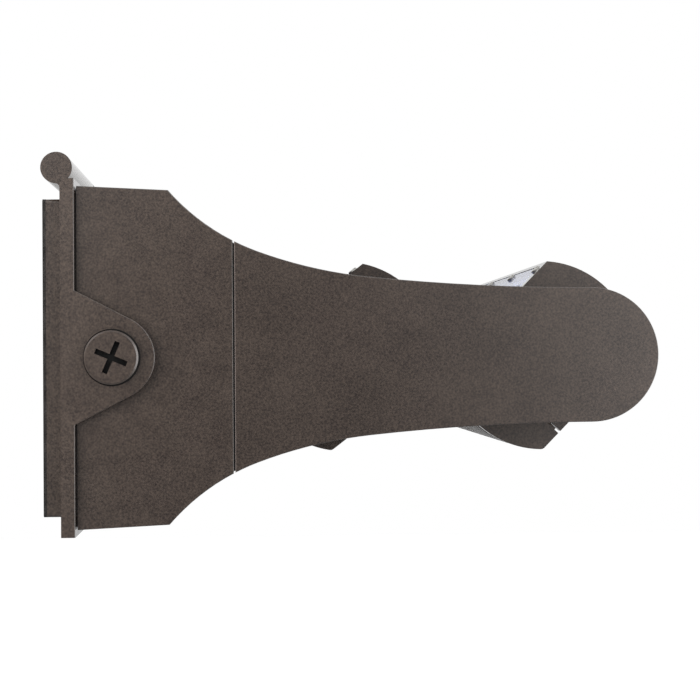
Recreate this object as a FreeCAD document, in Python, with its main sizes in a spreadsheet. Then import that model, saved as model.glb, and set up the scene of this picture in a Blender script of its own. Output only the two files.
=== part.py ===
import FreeCAD
import Part
import math
import os
import Sketcher
from FreeCAD import Placement, Rotation, Vector

# LED wall pack: a hinged driver housing on a wall plate, with two arms that carry two
# tilting barrel modules. The wall is the plane X = 0, +X points away from it, +Z is up,
# and the origin is the middle of the wall plate. Left is -Y, right is +Y.

# Driving dimensions, in millimetres and degrees; counts are plain numbers.
SIZES = {
    # wall plate
    "wall_gasket_thick": 1.5,
    "rim_depth": 7.9,
    "rim_side_inset": 12,
    "rim_top_inset": 7.8,
    "rim_wall": 4,
    "rim_corner": 1.5,
    "plate_thick": 6.2,
    "plate_margin": 2.9,
    "wall_hole_side_inset": 34,
    "wall_hole_top_inset": 24.5,
    "wall_hole_radius": 2.75,
    "wall_boss_radius": 9,
    "wire_bore_radius": 7,
    "grommet_wall": 3.5,
    "grommet_lip": 3,
    "grommet_lip_thick": 1.5,
    "ground_screw_across": 55,
    "ground_screw_drop": 45,
    # bead hinge
    "hinge_out": 8,
    "hinge_rise": 4.7,
    "bead_radius": 7,
    "hinge_pin_radius": 2.5,
    "pin_running_gap": 0.05,
    "pin_blind_end": 8,
    "pin_end_inset": 0.6,
    "knuckle_width": 30,
    "knuckle_across": 54,
    "knuckle_side_gap": 0.4,
    "lug_reach": 6,
    # ears and side screws
    "ear_gap": 0.3,
    "ear_thick": 3.7,
    "ear_root_height": 59.6,
    "ear_nose_radius": 19,
    "side_screw_reach": 16.4,
    "side_head_radius": 12,
    "side_head_height": 3.6,
    "side_head_chamfer": 0.8,
    "side_shank_radius": 4,
    "side_shank_gap": 0.05,
    "side_slot_gap": 0.5,
    "recess_length": 15,
    "recess_width": 2.4,
    "recess_depth": 2.2,
    "recess_turn": 23,
    "nut_across": 14,
    "nut_thick": 5,
    "nut_gap": 0.3,
    "shank_past_nut": 1.5,
    # driver housing
    "housing_gasket_thick": 0.6,
    "housing_gasket_width": 5,
    "housing_gasket_inset": 0.6,
    "housing_width": 250,
    "housing_depth": 69.4,
    "housing_rear_height": 153.2,
    "housing_wall_drop": 1.9,
    "housing_flat_depth": 40.7,
    "housing_wall": 3,
    "front_wall": 4,
    # driver and terminals
    "driver_height": 60,
    "driver_depth": 34,
    "driver_corner": 4,
    "driver_flange": 13,
    "driver_flange_thick": 2,
    "driver_boss_height": 4,
    "driver_boss_radius": 5,
    "driver_screw_inset": 6,
    "driver_screw_height": 40,
    "driver_thread_depth": 2,
    "terminal_side_gap": 15,
    "terminal_driver_gap": 5,
    "terminal_width": 14,
    "terminal_height": 36,
    "terminal_depth": 16,
    "terminal_entry_radius": 2.2,
    "terminal_entry_depth": 9,
    "terminal_pitch": 11,
    # arms
    "arm_gasket_thick": 0.7,
    "arm_gasket_inset": 0.8,
    "arm_thick": 18,
    "arm_wall": 3,
    "arm_root_wall": 8,
    "shoulder_end": 10.1,
    "edge_start": 60.7,
    "blend_radius": 205.9,
    "edge_radius": 983.8,
    "tip_radius": 30.4,
    "tip_reach": 18.5,
    "arm_bolt_height": 68,
    "cover_thick": 2,
    "cover_gap": 0.3,
    "cover_post_radius": 4,
    "root_line": 7,
    "root_post_reach": 17,
    "root_post_height": 68,
    "mid_post_height": 40,
    "tip_post_reach": 30,
    "post_thread_depth": 9,
    # pivots
    "inner_pivot_reach": 50.3,
    "module_spacing": 92.6,
    "pivot_boss_radius": 15,
    "bush_wall": 2,
    "bush_length": 10,
    "bush_flange_thick": 1,
    "thrust_gap": 0.1,
    "bush_flange_radius": 13.5,
    "trunnion_radius": 9,
    "trunnion_bore_radius": 4.5,
    "trunnion_gap": 0.05,
    "trunnion_end_gap": 0.5,
    "trunnion_flange_radius": 19,
    "trunnion_flange_thick": 3,
    "trunnion_screw_circle": 16,
    "lead_chamber_depth": 4.5,
    # light modules
    "module_radius": 44,
    "module_front": 28.6,
    "module_back": 31,
    "module_back_round": 2.5,
    "inner_face_angle": 127.5,
    "outer_face_angle": 135.6,
    "end_plate_thick": 4.5,
    "end_gap": 8.5,
    "fin_count": 21,
    "fin_thick": 2.6,
    "fin_slot_across": 40.2,
    "fin_slot_width": 1.4,
    "fin_slot_depth": 20,
    "base_thick": 10,
    "lens_seat_depth": 4,
    "board_seat_depth": 2,
    "seat_end_margin": 7,
    "seat_side_margin": 2.2,
    "seat_corner": 3,
    "ledge_width": 5.4,
    "seat_gap": 0.3,
    "lens_gasket_thick": 1,
    "lens_thick": 2.8,
    "dome_rows_apart": 25,
    "domes_per_row": 10,
    "dome_radius": 8.6,
    "dome_height": 1.6,
    "board_thick": 1.6,
    "led_side": 5,
    "led_height": 1.1,
    "lens_screws_per_side": 4,
    "lens_screw_depth": 4,
    "lens_shank_radius": 1.25,
    "lens_head_radius": 2.3,
    "lens_head_height": 1.2,
    # rounded edges of the castings
    "edge_round": 0.4,
    "bead_root_round": 2,
    # fasteners
    "small_shank_radius": 1.5,
    "small_head_radius": 2.7,
    "small_head_height": 1.4,
    "medium_shank_radius": 2,
    "medium_head_radius": 3.8,
    "medium_head_height": 2.6,
    "arm_bolt_radius": 3,
    "arm_bolt_head_radius": 5,
    "arm_bolt_head_height": 4,
    "thread_gap": 0.02,
    "hole_gap": 0.25,
    "screw_tip_gap": 1,
    # leads
    "lead_radius": 1.8,
    "lead_pitch": 4.4,
    "lead_gap": 0.2,
    "lead_bush_bore": 4.3,
    "lead_bush_wall": 1.2,
    "lead_bush_lip": 1.5,
    "lead_window": 4.4,
    "lead_bend": 20,
    "lead_easy_bend": 30,
    "lead_tight_bend": 3.6,
    "inner_lead_straight": 17,
    "inner_window_reach": 16,
    "outer_lead_straight": 14,
    "outer_lead_rise": 18,
    "outer_lead_crest": 14,
    "outer_lead_fall": 36,
    "outer_lead_low": 6,
    "outer_window_reach": 26,
}

doc = FreeCAD.newDocument("LedWallPack")
sheet = doc.addObject("Spreadsheet::Sheet", "Sizes")
for row, (alias, size) in enumerate(SIZES.items(), start=1):
    sheet.set(f"A{row}", alias)
    sheet.set(f"B{row}", str(size))
    sheet.setAlias(f"B{row}", alias)
doc.recompute()


class Term:
    """A size written as an expression on the sheet's cells."""

    def __init__(self, text):
        self.text = str(text)

    def __str__(self):
        return self.text

    def __neg__(self):
        return Term(f"(-{self})")

    def __add__(self, other):
        return Term(f"({self} + {other})")

    def __radd__(self, other):
        return Term(f"({other} + {self})")

    def __sub__(self, other):
        return Term(f"({self} - {other})")

    def __rsub__(self, other):
        return Term(f"({other} - {self})")

    def __mul__(self, other):
        return Term(f"({self} * {other})")

    def __rmul__(self, other):
        return Term(f"({other} * {self})")

    def __truediv__(self, other):
        return Term(f"({self} / {other})")

    def number(self):
        return float(sheet.evalExpression(self.text))


class SheetTerms:
    """Gives each cell of the sheet as a Term under its alias."""

    def __getattr__(self, alias):
        return Term(f"Sizes.{alias}")


def number(term):
    return Term(term).number()


def bind(item, prop, term):
    item.setExpression(prop, str(term))


def place(item, x, y, z):
    for axis, term in zip("xyz", (x, y, z)):
        bind(item, f"Placement.Base.{axis}", term)


# Part solids and booleans whose sizes are bound to the sheet. An edge within SNAP of a plane
# counts as lying in it.
SNAP = 0.001
ALONG = {
    "x": Rotation(Vector(0, 1, 0), 90),
    "y": Rotation(Vector(1, 0, 0), -90),
    "z": Rotation(),
}


def box(x, y, z):
    """A block between the low and high ends given for each axis."""
    item = doc.addObject("Part::Box", "block")
    for prop, (low, high) in zip(("Length", "Width", "Height"), (x, y, z)):
        bind(item, prop, Term(high) - low)
    place(item, x[0], y[0], z[0])
    return item


def spot(axis, along, centre):
    """A point from its place along an axis and its two other coordinates in XYZ order."""
    first, second = centre
    return {
        "x": (along, first, second),
        "y": (first, along, second),
        "z": (first, second, along),
    }[axis]


def rod(axis, centre, span, radius):
    """A cylinder along an axis, between the two ends of its span."""
    item = doc.addObject("Part::Cylinder", "rod")
    bind(item, "Radius", radius)
    bind(item, "Height", Term(span[1]) - span[0])
    item.Placement = Placement(Vector(), ALONG[axis])
    place(item, *spot(axis, span[0], centre))
    return item


def fuse(*items):
    if len(items) == 1:
        return items[0]
    item = doc.addObject("Part::MultiFuse", "joined")
    item.Shapes = list(items)
    item.Refine = True
    return item


def cut(base, *tools):
    item = doc.addObject("Part::Cut", "cut")
    item.Base = base
    item.Tool = fuse(*tools)
    item.Refine = True
    return item


def common(first, second):
    item = doc.addObject("Part::Common", "overlap")
    item.Base = first
    item.Tool = second
    item.Refine = True
    return item


def rounded(base, radius, wanted):
    """Rounds the edges of a solid that pass the test wanted."""
    doc.recompute()
    size = number(radius)
    item = doc.addObject("Part::Fillet", "rounded")
    item.Base = base
    chosen = [index for index, edge in enumerate(base.Shape.Edges, start=1) if wanted(edge)]
    item.Edges = [(index, size, size) for index in chosen]
    return item


def lies_at(edge, axis, places):
    """True where an edge lies wholly in one of the given planes across an axis."""
    low = getattr(edge.BoundBox, axis + "Min")
    high = getattr(edge.BoundBox, axis + "Max")
    return any(abs(low - at) < SNAP and abs(high - at) < SNAP for at in places)


def group(*items):
    item = doc.addObject("Part::Compound", "group")
    item.Links = list(items)
    return item


def screw(axis, centre, seat, tip, shank_radius, head_radius, head_height):
    """A pan-head screw: the head stands on its seat, on the side away from the tip."""
    away = number(Term(tip) - seat) < 0
    shank = (tip, seat) if away else (seat, tip)
    head = (seat, Term(seat) + head_height) if away else (Term(seat) - head_height, seat)
    return fuse(rod(axis, centre, shank, shank_radius), rod(axis, centre, head, head_radius))


# Sketches: x and y of a sketch on "side" are X and Z, on "wall" they are Y and Z, on
# "face" they are X and Y.
SKETCH_TURN = {
    "side": Rotation(Vector(1, 0, 0), Vector(0, 0, 1), Vector(0, -1, 0), "XYZ"),
    "wall": Rotation(Vector(0, 1, 0), Vector(0, 0, 1), Vector(1, 0, 0), "XYZ"),
    "face": Rotation(),
}
SKETCH_AXIS = {"side": "y", "wall": "x", "face": "z"}
DIRECTION = {"x": Vector(1, 0, 0), "y": Vector(0, 1, 0), "z": Vector(0, 0, 1)}


def new_sketch(plane):
    sketch = doc.addObject("Sketcher::SketchObject", "outline")
    sketch.Placement = Placement(Vector(), SKETCH_TURN[plane])
    return sketch


def hold(sketch, kind, *references, term):
    """Adds a dimension to a sketch and binds it to the sheet."""
    index = sketch.addConstraint(Sketcher.Constraint(kind, *references, number(term)))
    bind(sketch, f"Constraints[{index}]", term)


def hold_point(sketch, curve, end, x, y):
    hold(sketch, "DistanceX", -1, 1, curve, end, term=x)
    hold(sketch, "DistanceY", -1, 1, curve, end, term=y)


def extrude(outline, plane, low, high):
    """Extrudes an outline across its plane, from low to high."""
    axis = SKETCH_AXIS[plane]
    item = doc.addObject("Part::Extrusion", "slab")
    item.Base = outline
    item.DirMode = "Custom"
    item.Dir = DIRECTION[axis]
    item.Solid = True
    bind(item, "LengthFwd", Term(high) - low)
    bind(item, f"Placement.Base.{axis}", low)
    return item


def rounded_rectangle(plane, width, height, radius):
    """A rectangle about the origin of its plane, with four equal round corners."""
    sketch = new_sketch(plane)
    round_size = number(radius)
    across = number(width) / 2 - round_size
    up = number(height) / 2 - round_size
    signs = ((1, -1), (1, 1), (-1, 1), (-1, -1))
    centres = [Vector(x * across, y * up, 0) for x, y in signs]
    quarter = math.pi / 2
    arcs = []
    for index, centre in enumerate(centres):
        circle = Part.Circle(centre, Vector(0, 0, 1), round_size)
        arcs.append(Part.ArcOfCircle(circle, (index - 1) * quarter, index * quarter))
        sketch.addGeometry(arcs[-1], False)
    for index, arc in enumerate(arcs):
        sketch.addGeometry(Part.LineSegment(arc.EndPoint, arcs[(index + 1) % 4].StartPoint), False)
    for index in range(4):
        line = index + 4
        sketch.addConstraint(Sketcher.Constraint("Tangent", index, 2, line, 1))
        sketch.addConstraint(Sketcher.Constraint("Tangent", line, 2, (index + 1) % 4, 1))
        sketch.addConstraint(Sketcher.Constraint("Horizontal" if index % 2 else "Vertical", line))
    for index in (1, 2, 3):
        sketch.addConstraint(Sketcher.Constraint("Equal", 0, index))
    sketch.addConstraint(Sketcher.Constraint("Symmetric", 4, 1, 6, 1, -1, 1))
    hold(sketch, "Radius", 0, term=radius)
    hold(sketch, "DistanceX", 6, 1, 4, 1, term=width)
    hold(sketch, "DistanceY", 7, 1, 5, 1, term=height)
    return sketch


def rounded_slab(plane, width, height, radius, low, high):
    return extrude(rounded_rectangle(plane, width, height, radius), plane, low, high)


nodes = {}


def node(item, name):
    """Names a finished sub-part; the name is also its file's name."""
    item.Label = name
    nodes[name] = item
    return item


def across(side, inner, outer):
    """A span in Y from its distances to the middle plane, for side -1 (left) or 1 (right)."""
    return (inner, outer) if side > 0 else (-outer, -inner)


s = SheetTerms()
SIDES = {"left": -1, "right": 1}

# Planes that the pieces share, as distances from the wall and from the middle plane.
plate_back = s.wall_gasket_thick + s.rim_depth
plate_front = plate_back + s.plate_thick
box_rear = plate_front + s.housing_gasket_thick
box_front = box_rear + s.housing_depth
front_inside = box_front - s.front_wall
arm_root = box_front + s.arm_gasket_thick
inner_pivot = arm_root + s.inner_pivot_reach
outer_pivot = inner_pivot + s.module_spacing
tip_centre = outer_pivot + s.tip_reach
plate_top = s.housing_rear_height / 2 + s.plate_margin
hinge_height = plate_top + s.hinge_rise
side_screw_x = plate_front + s.side_screw_reach
box_side = s.housing_width / 2
box_inside = box_side - s.housing_wall
ear_inner = box_side + s.ear_gap
ear_outer = ear_inner + s.ear_thick
arm_inner = box_side - s.arm_thick
arm_floor = box_side - s.arm_wall
cover_back = arm_inner + s.cover_thick
trunnion_seat = arm_inner - s.bush_flange_thick
trunnion_face = trunnion_seat - s.thrust_gap
module_end = trunnion_face - s.trunnion_flange_thick
bush_outer = s.trunnion_radius + s.trunnion_gap + s.bush_wall
bush_back = arm_inner + s.bush_length
lead_split = arm_inner + s.bush_length / 2
root_across = arm_inner + s.root_line
housing_draft = s.housing_wall_drop / s.housing_flat_depth
knuckle_spots = (-s.knuckle_across / 2, s.knuckle_across / 2)
wall_hole_spots = [(y * (ear_outer - s.wall_hole_side_inset), z * (plate_top - s.wall_hole_top_inset))
                   for y in (-1, 1) for z in (-1, 1)]


def ring(plane, width, height, radius, wall, low, high):
    """A flat frame with round corners: a rounded slab less a smaller one."""
    inside = rounded_slab(plane, width - 2 * wall, height - 2 * wall, radius - wall, low, high)
    return cut(rounded_slab(plane, width, height, radius, low, high), inside)


def wall_rim(low, high):
    """The outline that the plate's rear rim shares with the gasket behind it."""
    width = 2 * (ear_outer - s.rim_side_inset)
    height = 2 * (plate_top - s.rim_top_inset)
    inside = rounded_slab("wall", width - 2 * s.rim_wall, height - 2 * s.rim_wall, s.rim_corner, low, high)
    return cut(rounded_slab("wall", width, height, s.rim_corner, low, high), inside)


def build_wall_plate():
    """The plate with its bead, rear rim, wall-screw bosses and ears, all one casting."""
    plate = box((plate_back, plate_front), (-ear_outer, ear_outer), (-plate_top, plate_top))
    bead = rod("y", (s.hinge_out, hinge_height), (-ear_outer, ear_outer), s.bead_radius)
    rim = wall_rim(s.wall_gasket_thick, plate_back)
    bosses = [rod("x", centre, (0, plate_back), s.wall_boss_radius) for centre in wall_hole_spots]
    ears = [extrude(ear_outline(), "side", *across(side, ear_inner, ear_outer)) for side in SIDES.values()]
    body = fuse(plate, bead, rim, *bosses, *ears)
    bead_root = hinge_height - Term(f"sqrt({s.bead_radius} ^ 2 - {plate_back - s.hinge_out} ^ 2)")
    body = rounded(body, s.bead_root_round, lambda edge: lies_at(edge, "X", [number(plate_back)])
                   and lies_at(edge, "Z", [number(bead_root)]))
    notch_floor = hinge_height - s.bead_radius - s.knuckle_side_gap
    bead_top = hinge_height + s.bead_radius + s.knuckle_side_gap
    half_notch = s.knuckle_width / 2 + s.knuckle_side_gap
    notch_depth = (0, plate_front + s.knuckle_side_gap)
    notches = [box(notch_depth, (y - half_notch, y + half_notch), (notch_floor, bead_top))
               for y in knuckle_spots]
    pin_hole = rod("y", (s.hinge_out, hinge_height), (s.pin_blind_end - ear_outer, ear_outer),
                   s.hinge_pin_radius + s.thread_gap)
    wall_holes = [rod("x", centre, (0, plate_front), s.wall_hole_radius) for centre in wall_hole_spots]
    wire_hole = rod("x", (0, 0), (plate_back, plate_front), s.wire_bore_radius + s.grommet_wall)
    ground_hole = rod("x", (s.ground_screw_across, -s.ground_screw_drop), (plate_back, plate_front),
                      s.medium_shank_radius + s.thread_gap)
    ear_hole = rod("y", (side_screw_x, 0), (-ear_outer, ear_outer), s.side_shank_radius + s.side_shank_gap)
    body = cut(cut(body, *notches), pin_hole, wire_hole, ground_hole, ear_hole, *wall_holes)
    ear_faces = (number(-ear_outer), number(ear_outer))
    front_edge = number(plate_front) - SNAP
    body = rounded(body, s.edge_round, lambda edge: lies_at(edge, "Y", ear_faces)
                   and edge.CenterOfMass.x > front_edge
                   and not edge.isClosed())
    return node(body, "wall_plate")


def ear_outline():
    """An ear: a straight root on the plate, two slanting edges and a round nose."""
    sketch = new_sketch("side")
    root = number(plate_back)
    rise = number(s.ear_root_height) / 2
    nose_x = number(side_screw_x)
    radius = number(s.ear_nose_radius)
    reach = math.hypot(nose_x - number(plate_front), rise)
    turn = math.atan2(rise, number(plate_front) - nose_x) - math.acos(radius / reach)
    touch = Vector(nose_x + radius * math.cos(turn), radius * math.sin(turn), 0)
    low_touch = Vector(touch.x, -touch.y, 0)
    front_low = Vector(number(plate_front), -rise, 0)
    front_high = Vector(number(plate_front), rise, 0)
    back_low = Vector(root, -rise, 0)
    back_high = Vector(root, rise, 0)
    sketch.addGeometry(Part.LineSegment(back_high, back_low), False)
    sketch.addGeometry(Part.LineSegment(back_low, front_low), False)
    sketch.addGeometry(Part.LineSegment(front_low, low_touch), False)
    nose = Part.Circle(Vector(nose_x, 0, 0), Vector(0, 0, 1), radius)
    sketch.addGeometry(Part.ArcOfCircle(nose, -turn, turn), False)
    sketch.addGeometry(Part.LineSegment(touch, front_high), False)
    sketch.addGeometry(Part.LineSegment(front_high, back_high), False)
    for first, second in ((0, 1), (1, 2), (4, 5), (5, 0)):
        sketch.addConstraint(Sketcher.Constraint("Coincident", first, 2, second, 1))
    sketch.addConstraint(Sketcher.Constraint("Tangent", 2, 2, 3, 1))
    sketch.addConstraint(Sketcher.Constraint("Tangent", 3, 2, 4, 1))
    hold_point(sketch, 0, 1, plate_back, s.ear_root_height / 2)
    hold_point(sketch, 0, 2, plate_back, -s.ear_root_height / 2)
    hold_point(sketch, 1, 2, plate_front, -s.ear_root_height / 2)
    hold_point(sketch, 4, 2, plate_front, s.ear_root_height / 2)
    hold_point(sketch, 3, 3, side_screw_x, 0)
    hold(sketch, "Radius", 3, term=s.ear_nose_radius)
    return sketch


def build_wall_fittings():
    """Gaskets, hinge pin, wire grommet and ground screw of the wall plate."""
    node(wall_rim(0, s.wall_gasket_thick), "wall_gasket")
    inset = 2 * s.housing_gasket_inset
    gasket_corner = s.housing_gasket_width + s.housing_wall
    node(ring("wall", s.housing_width - inset, s.housing_rear_height - inset, gasket_corner,
              s.housing_gasket_width, plate_front, box_rear), "housing_gasket")
    pin_span = (s.pin_blind_end - ear_outer + s.thread_gap, ear_outer - s.pin_end_inset)
    node(rod("y", (s.hinge_out, hinge_height), pin_span, s.hinge_pin_radius), "hinge_pin")
    neck = s.wire_bore_radius + s.grommet_wall - s.thread_gap
    lip = neck + s.grommet_lip
    lip_back = plate_back - s.grommet_lip_thick
    lip_front = plate_front + s.grommet_lip_thick
    grommet = fuse(rod("x", (0, 0), (plate_back, plate_front), neck),
                   rod("x", (0, 0), (lip_back, plate_back), lip),
                   rod("x", (0, 0), (plate_front, lip_front), lip))
    bore = rod("x", (0, 0), (lip_back, lip_front), s.wire_bore_radius)
    node(cut(grommet, bore), "wire_grommet")
    node(screw("x", (s.ground_screw_across, -s.ground_screw_drop), plate_front, plate_back,
               s.medium_shank_radius, s.medium_head_radius, s.medium_head_height), "ground_screw")


def build_side_screws():
    """The two large cross-recess screws in the ears and the square nuts on their tips."""
    nut_face = box_inside - s.nut_gap
    nut_back = nut_face - s.nut_thick
    head_top = ear_outer + s.side_head_height
    half_nut = s.nut_across / 2
    nuts = []
    for name, side in SIDES.items():
        centre = (side_screw_x, 0)
        shank = rod("y", centre, across(side, nut_back - s.shank_past_nut, ear_outer), s.side_shank_radius)
        head = rod("y", centre, across(side, ear_outer, head_top - s.side_head_chamfer), s.side_head_radius)
        rim = doc.addObject("Part::Cone", "rim")
        bind(rim, "Height", s.side_head_chamfer)
        bind(rim, "Radius1", s.side_head_radius)
        bind(rim, "Radius2", s.side_head_radius - s.side_head_chamfer)
        rim.Placement = Placement(Vector(), Rotation(Vector(1, 0, 0), -90 * side))
        place(rim, side_screw_x, side * (head_top - s.side_head_chamfer), 0)
        slots = []
        for quarter in (0, 1):
            slot = box((-s.recess_length / 2, s.recess_length / 2), (-s.recess_depth, s.recess_depth),
                       (-s.recess_width / 2, s.recess_width / 2))
            cross = group(slot)
            cross.Placement = Placement(Vector(), Rotation(Vector(0, 1, 0), 1))
            bind(cross, "Placement.Rotation.Angle", s.recess_turn + 90 * quarter)
            place(cross, side_screw_x, side * head_top, 0)
            slots.append(cross)
        node(cut(fuse(shank, head, rim), *slots), f"{name}_side_screw")
        block = box((side_screw_x - half_nut, side_screw_x + half_nut), across(side, nut_back, nut_face),
                    (-half_nut, half_nut))
        hole = rod("y", centre, across(side, nut_back, nut_face), s.side_shank_radius + s.side_shank_gap)
        nuts.append(cut(block, hole))
    node(group(*nuts), "clamp_nuts")


def side_outline():
    """The side view of the housing and an arm as one outline, symmetric about Z = 0.

    From the wall it runs along a straight drafted edge to the housing's corner, then along
    three concave arcs that touch each other, and round the tip of the arm.
    """
    half_corner = s.housing_rear_height / 2 - s.housing_wall_drop
    corner_x = box_rear + s.housing_flat_depth
    wall_height = half_corner + housing_draft * corner_x
    shoulder_x = arm_root + s.shoulder_end
    edge_x = arm_root + s.edge_start

    # the points where the arcs meet, as a start for the constraints below
    tip = Vector(number(tip_centre), 0, 0)
    tip_radius = number(s.tip_radius)
    edge_radius = number(s.edge_radius)
    blend_radius = number(s.blend_radius)
    corner = Vector(number(corner_x), number(half_corner), 0)
    edge_centre = tip + Vector(0, tip_radius + edge_radius, 0)
    edge_turn = math.asin((edge_centre.x - number(edge_x)) / edge_radius)
    toward = Vector(math.sin(edge_turn), math.cos(edge_turn), 0)
    edge_point = edge_centre - toward * edge_radius
    blend_centre = edge_point + toward * blend_radius
    blend_turn = math.asin((blend_centre.x - number(shoulder_x)) / blend_radius)
    toward = Vector(math.sin(blend_turn), math.cos(blend_turn), 0)
    shoulder_point = blend_centre - toward * blend_radius
    chord = corner - shoulder_point
    shoulder_radius = chord.dot(chord) / (2 * chord.dot(toward))
    shoulder_centre = shoulder_point + toward * shoulder_radius
    corner_turn = math.atan2(shoulder_centre.x - corner.x, shoulder_centre.y - corner.y)

    sketch = new_sketch("side")
    up = Vector(0, 0, 1)
    rear_high = Vector(0, number(wall_height), 0)
    rear_low = Vector(0, -rear_high.y, 0)
    low_corner = Vector(corner.x, -corner.y, 0)
    sketch.addGeometry(Part.LineSegment(rear_low, rear_high), False)
    sketch.addGeometry(Part.LineSegment(rear_high, corner), False)
    arcs = [(shoulder_centre, shoulder_radius, corner_turn, blend_turn),
            (blend_centre, blend_radius, blend_turn, edge_turn),
            (edge_centre, edge_radius, edge_turn, 0)]
    quarter = math.pi / 2
    for centre, radius, left_turn, right_turn in arcs:
        circle = Part.Circle(centre, up, radius)
        sketch.addGeometry(Part.ArcOfCircle(circle, -quarter - left_turn, -quarter - right_turn), False)
    sketch.addGeometry(Part.ArcOfCircle(Part.Circle(tip, up, tip_radius), -quarter, quarter), False)
    for centre, radius, left_turn, right_turn in reversed(arcs):
        circle = Part.Circle(Vector(centre.x, -centre.y, 0), up, radius)
        sketch.addGeometry(Part.ArcOfCircle(circle, quarter + right_turn, quarter + left_turn), False)
    sketch.addGeometry(Part.LineSegment(low_corner, rear_low), False)

    for first, first_end, second, second_end in ((0, 2, 1, 1), (1, 2, 2, 1), (8, 2, 9, 1), (9, 2, 0, 1)):
        sketch.addConstraint(Sketcher.Constraint("Coincident", first, first_end, second, second_end))
    for first, first_end, second, second_end in ((2, 2, 3, 1), (3, 2, 4, 1), (4, 2, 5, 2),
                                                 (5, 1, 6, 1), (6, 2, 7, 1), (7, 2, 8, 1)):
        sketch.addConstraint(Sketcher.Constraint("Tangent", first, first_end, second, second_end))
    for upper, lower in ((2, 8), (3, 7), (4, 6)):
        sketch.addConstraint(Sketcher.Constraint("Equal", upper, lower))
    sketch.addConstraint(Sketcher.Constraint("Vertical", 5, 3, 5, 2))
    sketch.addConstraint(Sketcher.Constraint("Vertical", 5, 3, 5, 1))
    sketch.addConstraint(Sketcher.Constraint("Vertical", 3, 2, 7, 1))
    hold_point(sketch, 0, 2, 0, wall_height)
    hold_point(sketch, 0, 1, 0, -wall_height)
    hold_point(sketch, 1, 2, corner_x, half_corner)
    hold_point(sketch, 9, 1, corner_x, -half_corner)
    hold_point(sketch, 5, 3, tip_centre, 0)
    hold(sketch, "Radius", 5, term=s.tip_radius)
    hold(sketch, "Radius", 3, term=s.blend_radius)
    hold(sketch, "Radius", 4, term=s.edge_radius)
    hold(sketch, "DistanceX", -1, 1, 2, 2, term=shoulder_x)
    hold(sketch, "DistanceX", -1, 1, 3, 2, term=edge_x)
    return sketch


def inset_outline(outline, distance):
    item = doc.addObject("Part::Offset2D", "inset")
    item.Source = outline
    item.Join = 2
    bind(item, "Value", -distance)
    return item


def knuckle_outline():
    """A knuckle of the housing: a round eye with a lug that runs down into the top wall."""
    sketch = new_sketch("side")
    eye_low = hinge_height - s.bead_radius
    lug_end = box_rear + s.lug_reach
    top_mid = s.housing_rear_height / 2 - s.housing_wall / 2
    top_at_lug = s.housing_rear_height / 2 - housing_draft * s.lug_reach
    eye = Vector(number(s.hinge_out), number(hinge_height), 0)
    radius = number(s.bead_radius)
    far = Vector(number(lug_end), number(top_at_lug), 0)
    reach = far - eye
    turn = math.acos(radius / reach.Length) + math.atan2(reach.y, reach.x)
    touch = eye + Vector(math.cos(turn), math.sin(turn), 0) * radius
    corners = [(s.hinge_out, eye_low), (box_rear, eye_low), (box_rear, top_mid), (lug_end, top_mid),
               (lug_end, top_at_lug)]
    points = [Vector(number(x), number(y), 0) for x, y in corners] + [touch]
    for first, last in zip(points, points[1:]):
        sketch.addGeometry(Part.LineSegment(first, last), False)
    circle = Part.Circle(eye, Vector(0, 0, 1), radius)
    sketch.addGeometry(Part.ArcOfCircle(circle, turn, 1.5 * math.pi), False)
    for index in range(4):
        sketch.addConstraint(Sketcher.Constraint("Coincident", index, 2, index + 1, 1))
    sketch.addConstraint(Sketcher.Constraint("Tangent", 4, 2, 5, 1))
    sketch.addConstraint(Sketcher.Constraint("Coincident", 5, 2, 0, 1))
    for index, (x, y) in enumerate(corners):
        hold_point(sketch, index, 1, x, y)
    hold_point(sketch, 5, 3, s.hinge_out, hinge_height)
    return sketch


def tall(x, y):
    """A block over the whole height of the housing, used to keep a length of an outline."""
    return box(x, y, (-s.housing_rear_height, s.housing_rear_height))


driver_face = front_inside - s.driver_boss_height
driver_seat = driver_face - s.driver_flange_thick
flange_end = box_inside - s.terminal_side_gap - s.terminal_width - s.terminal_driver_gap
driver_end = flange_end - s.driver_flange
driver_screw_y = flange_end - s.driver_screw_inset
driver_spots = [(y * driver_screw_y, z * s.driver_screw_height / 2) for y in (-1, 1) for z in (-1, 1)]
bolt_heights = (-s.arm_bolt_height / 2, s.arm_bolt_height / 2)
lead_bush_radius = s.lead_bush_bore + s.lead_bush_wall


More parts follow.
